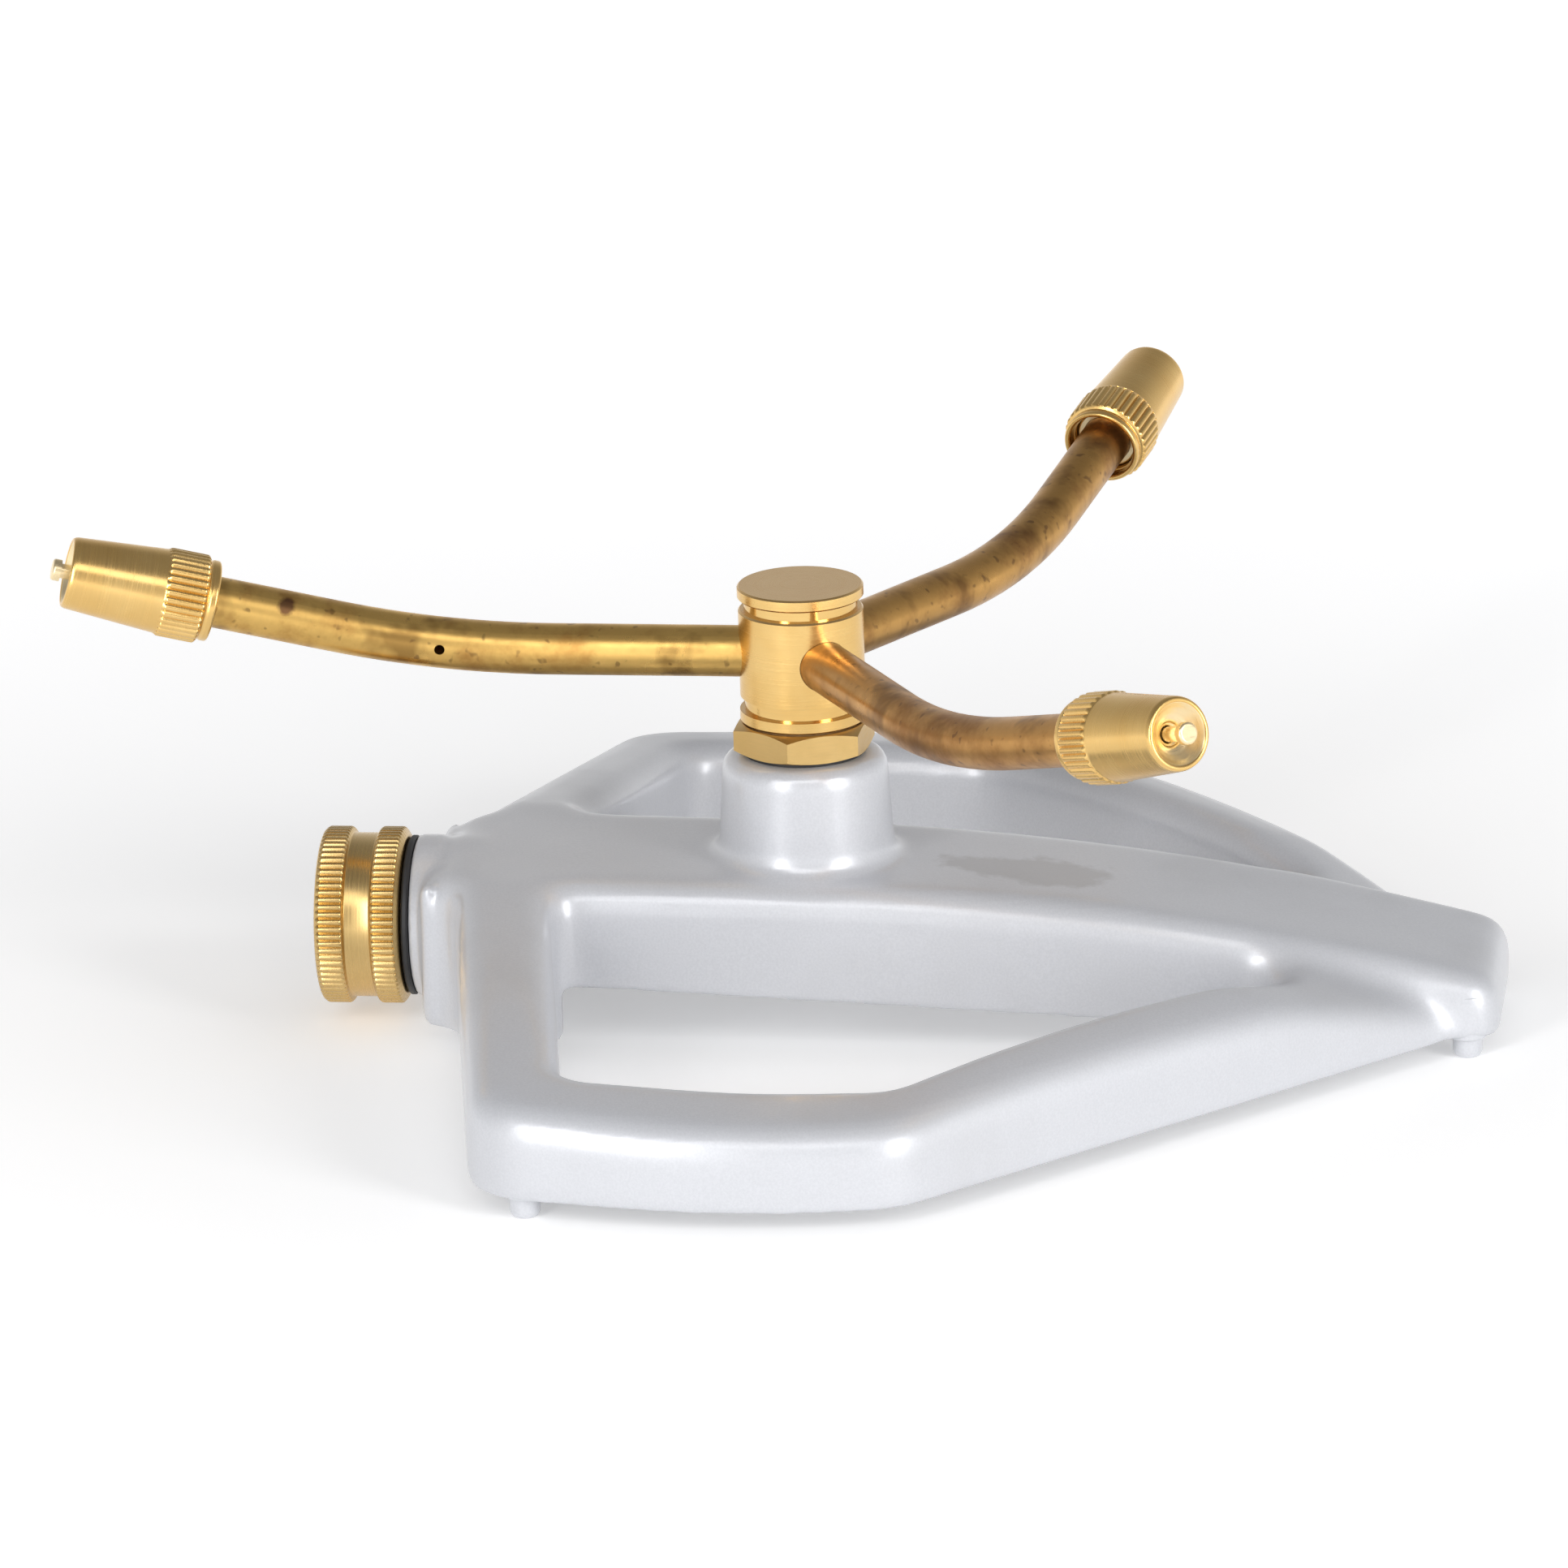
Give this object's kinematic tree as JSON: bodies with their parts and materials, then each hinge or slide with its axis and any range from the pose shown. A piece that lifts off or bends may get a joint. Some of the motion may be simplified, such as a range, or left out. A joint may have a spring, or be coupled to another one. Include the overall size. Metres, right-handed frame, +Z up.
{
  "type": "lawn sprinkler",
  "caption": "Lawn sprinkler with a cast sled base, a side hose nut, and a free-spinning hub carrying bent arms with adjustable nozzles.",
  "frame": {"origin": "on the ground, under the rotor's axis", "axes": "+Z up along the rotor's axis, +X from the hose inlet towards the narrow tip of the base, +Y to the side"},
  "size_m": [0.2508, 0.2331, 0.0907],
  "materials": {
    "silver_paint": "gloss metallic silver paint on a casting",
    "turned_brass": "machined, satin, with fine turning lines",
    "tube_brass": "drawn tube, tarnished",
    "black_rubber": "matt",
    "white_nylon": "satin",
    "spring_steel": "bright"
  },
  "bodies": {
    "base": {"base_casting": "silver_paint", "inlet_tailpiece": "turned_brass", "inlet_washer": "black_rubber", "hose_washer": "black_rubber", "spindle": "turned_brass", "spindle_seal": "black_rubber", "lower_thrust_washer": "white_nylon", "spindle_oring": "black_rubber", "upper_thrust_washer": "white_nylon", "retaining_clip": "spring_steel"},
    "hose_nut": {"swivel_nut": "turned_brass"},
    "rotor": {"rotor_hub": "turned_brass", "hub_cap": "turned_brass", "arm_tube_1": "tube_brass", "arm_tube_2": "tube_brass", "arm_tube_3": "tube_brass", "nozzle_stem_1": "turned_brass", "nozzle_stem_2": "turned_brass", "nozzle_stem_3": "turned_brass"},
    "seal_ring_1": {"nozzle_oring_1": "black_rubber"},
    "nozzle_1": {"nozzle_cap_1": "turned_brass"},
    "seal_ring_2": {"nozzle_oring_2": "black_rubber"},
    "nozzle_2": {"nozzle_cap_2": "turned_brass"},
    "seal_ring_3": {"nozzle_oring_3": "black_rubber"},
    "nozzle_3": {"nozzle_cap_3": "turned_brass"}
  },
  "joints": [
    {"name": "rotor_spin", "type": "hinge", "parent": "base", "child": "rotor", "pos_m": [0, 0, 0.0588], "axis": [0, 0, 1], "continuous": true},
    {"name": "hose_nut_spin", "type": "hinge", "parent": "base", "child": "hose_nut", "pos_m": [-0.0785, 0, 0.0185], "axis": [1, 0, 0], "continuous": true},
    {"name": "nozzle_1_travel", "type": "slide", "parent": "rotor", "child": "seal_ring_1", "axis": [0.291, 0.9203, 0.2616], "range_m": [0, 0.00165]},
    {"name": "nozzle_1_turn", "type": "hinge", "parent": "seal_ring_1", "child": "nozzle_1", "pos_m": [0.04429, 0.09194, 0.07795], "axis": [0.291, 0.9203, 0.2616], "range_deg": [0, 540]},
    {"name": "nozzle_2_travel", "type": "slide", "parent": "rotor", "child": "seal_ring_2", "axis": [-0.9425, -0.2081, 0.2616], "range_m": [0, 0.00165]},
    {"name": "nozzle_2_turn", "type": "hinge", "parent": "seal_ring_2", "child": "nozzle_2", "pos_m": [-0.10177, -0.00761, 0.07795], "axis": [-0.9425, -0.2081, 0.2616], "range_deg": [0, 540]},
    {"name": "nozzle_3_travel", "type": "slide", "parent": "rotor", "child": "seal_ring_3", "axis": [0.6515, -0.7121, 0.2616], "range_m": [0, 0.00165]},
    {"name": "nozzle_3_turn", "type": "hinge", "parent": "seal_ring_3", "child": "nozzle_3", "pos_m": [0.05748, -0.08433, 0.07795], "axis": [0.6515, -0.7121, 0.2616], "range_deg": [0, 540]}
  ],
  "couplings": [
    {"joint": "nozzle_1_travel", "follows": "nozzle_1_turn", "m_per_rad": 0.00015915},
    {"joint": "nozzle_2_travel", "follows": "nozzle_2_turn", "m_per_rad": 0.00015915},
    {"joint": "nozzle_3_travel", "follows": "nozzle_3_turn", "m_per_rad": 0.00015915}
  ]
}
